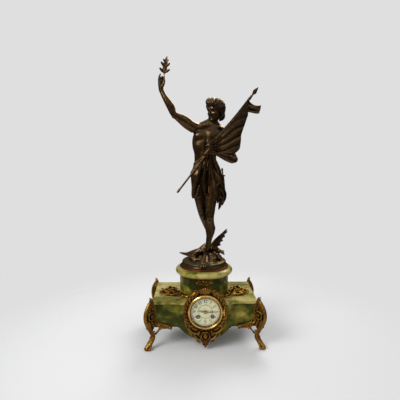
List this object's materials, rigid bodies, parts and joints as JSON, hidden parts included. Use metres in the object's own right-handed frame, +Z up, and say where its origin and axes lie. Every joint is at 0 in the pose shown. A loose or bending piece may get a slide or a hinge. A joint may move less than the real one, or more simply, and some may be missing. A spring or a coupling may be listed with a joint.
{
  "type": "figural mantel clock",
  "caption": "Mantel clock: onyx case on scroll legs, round enamel dial and pendulum movement, cast bronze standard bearer on a round plinth.",
  "frame": {"origin": "on the ground, under the middle of the case's outer box", "axes": "+Z up, the dial faces -Y, +X to the viewer's right"},
  "size_m": [0.33, 0.21, 0.7945],
  "materials": {
    "onyx": "polished green onyx, veined",
    "pale_onyx": "polished pale green onyx, banded",
    "red_bronze": "red-brown patinated metal",
    "statue_bronze": "cast, dark brown bronze patina",
    "gilt_bronze": "cast and chased, aged gilding",
    "brass": "turned and polished brass",
    "bell_metal": "turned bell metal",
    "steel": "turned steel",
    "enamel": "glossy white enamel",
    "glass": "clear flat glass"
  },
  "bodies": {
    "case": {"onyx_case": "onyx", "onyx_top_slab": "pale_onyx", "onyx_drum": "onyx", "onyx_collar": "pale_onyx", "plinth_ring": "red_bronze", "figure_plinth": "statue_bronze", "tie_rod": "steel", "tie_nut": "steel", "leg_front_right": "gilt_bronze", "leg_front_left": "gilt_bronze", "leg_rear_right": "gilt_bronze", "leg_rear_left": "gilt_bronze", "dial_surround": "gilt_bronze", "crest_mount": "gilt_bronze", "spray_left": "gilt_bronze", "spray_right": "gilt_bronze", "bezel_pin": "brass", "dial_enamel": "enamel", "dial_plate": "brass", "front_plate": "brass", "back_plate": "brass", "suspension_cock": "brass", "bell": "bell_metal", "bell_stand": "steel", "strap_left": "steel", "strap_right": "steel", "rear_ring": "brass", "rear_pin": "brass", "figure_body": "statue_bronze", "figure_arm_right": "statue_bronze", "figure_arm_left": "statue_bronze", "flag_cloth": "statue_bronze", "flag_staff": "statue_bronze", "leaf_sprig": "statue_bronze", "dagger": "statue_bronze", "eagle": "statue_bronze"},
    "bezel": {"bezel_door": "gilt_bronze", "bezel_glass": "glass"},
    "rear_cover": {"rear_door": "brass"},
    "minute_arbor": {"centre_wheel": "brass", "cannon_pinion": "brass", "minute_hand": "gilt_bronze", "hand_nut": "brass"},
    "hour_pipe": {"hour_wheel": "brass", "hour_hand": "gilt_bronze"},
    "motion_wheel": {"minute_wheel": "brass"},
    "intermediate_arbor": {"intermediate_wheel": "brass"},
    "going_drum": {"going_barrel": "brass"},
    "third_arbor": {"third_wheel": "brass"},
    "escape_arbor": {"escape_wheel": "brass"},
    "going_square": {"winding_arbor_going": "steel"},
    "strike_square": {"winding_arbor_strike": "steel"},
    "strike_drum": {"strike_barrel": "brass"},
    "strike_arbor": {"strike_wheel": "brass"},
    "pallets": {"anchor": "steel"},
    "pendulum_rod": {"pendulum": "brass"},
    "hammer_arbor": {"hammer": "steel"}
  },
  "joints": [
    {"name": "bezel_hinge", "type": "hinge", "parent": "case", "child": "bezel", "pos_m": [0.0506, -0.1019, 0.105], "axis": [0, 0, 1], "range_deg": [0, 110]},
    {"name": "rear_hinge", "type": "hinge", "parent": "case", "child": "rear_cover", "pos_m": [0.049, 0.0874, 0.105], "axis": [0, 0, -1], "range_deg": [0, 110]},
    {"name": "minute_turn", "type": "hinge", "parent": "case", "child": "minute_arbor", "pos_m": [0, 0, 0.105], "axis": [0, 1, 0], "continuous": true},
    {"name": "hour_turn", "type": "hinge", "parent": "case", "child": "hour_pipe", "pos_m": [0, 0, 0.105], "axis": [0, 1, 0], "continuous": true},
    {"name": "motion_turn", "type": "hinge", "parent": "case", "child": "motion_wheel", "pos_m": [0, 0, 0.119], "axis": [0, 1, 0], "continuous": true},
    {"name": "intermediate_turn", "type": "hinge", "parent": "case", "child": "intermediate_arbor", "pos_m": [0.01627, 0, 0.1092], "axis": [0, 1, 0], "continuous": true},
    {"name": "going_drum_turn", "type": "hinge", "parent": "case", "child": "going_drum", "pos_m": [0.0195, 0, 0.091], "axis": [0, 1, 0], "continuous": true},
    {"name": "third_turn", "type": "hinge", "parent": "case", "child": "third_arbor", "pos_m": [-0.009, 0, 0.11774], "axis": [0, 1, 0], "continuous": true},
    {"name": "escape_turn", "type": "hinge", "parent": "case", "child": "escape_arbor", "pos_m": [0, 0, 0.12694], "axis": [0, 1, 0], "continuous": true},
    {"name": "going_winding", "type": "hinge", "parent": "case", "child": "going_square", "pos_m": [0.0195, 0, 0.091], "axis": [0, 1, 0], "continuous": true},
    {"name": "strike_winding", "type": "hinge", "parent": "case", "child": "strike_square", "pos_m": [-0.0195, 0, 0.091], "axis": [0, 1, 0], "continuous": true},
    {"name": "strike_drum_turn", "type": "hinge", "parent": "case", "child": "strike_drum", "pos_m": [-0.0195, 0, 0.091], "axis": [0, 1, 0], "continuous": true},
    {"name": "strike_wheel_turn", "type": "hinge", "parent": "case", "child": "strike_arbor", "pos_m": [-0.01949, 0, 0.10948], "axis": [0, 1, 0], "continuous": true},
    {"name": "pendulum_swing", "type": "hinge", "parent": "case", "child": "pendulum_rod", "pos_m": [0, -0.044, 0.138], "axis": [0, 1, 0], "range_deg": [-3, 3]},
    {"name": "anchor_rock", "type": "hinge", "parent": "case", "child": "pallets", "pos_m": [0, 0, 0.138], "axis": [0, 1, 0], "range_deg": [-3, 3]},
    {"name": "hammer_lift", "type": "hinge", "parent": "case", "child": "hammer_arbor", "pos_m": [-0.031, 0, 0.122], "axis": [0, -1, 0], "range_deg": [0, 18]}
  ],
  "couplings": [
    {"joint": "hour_turn", "follows": "minute_turn", "ratio": 0.083333},
    {"joint": "motion_turn", "follows": "minute_turn", "ratio": -0.33333},
    {"joint": "intermediate_turn", "follows": "minute_turn", "ratio": -0.16667},
    {"joint": "going_drum_turn", "follows": "minute_turn", "ratio": 0.027778},
    {"joint": "third_turn", "follows": "minute_turn", "ratio": -12},
    {"joint": "escape_turn", "follows": "minute_turn", "ratio": 144},
    {"joint": "strike_wheel_turn", "follows": "strike_drum_turn", "ratio": -6},
    {"joint": "anchor_rock", "follows": "pendulum_swing", "ratio": 1}
  ]
}
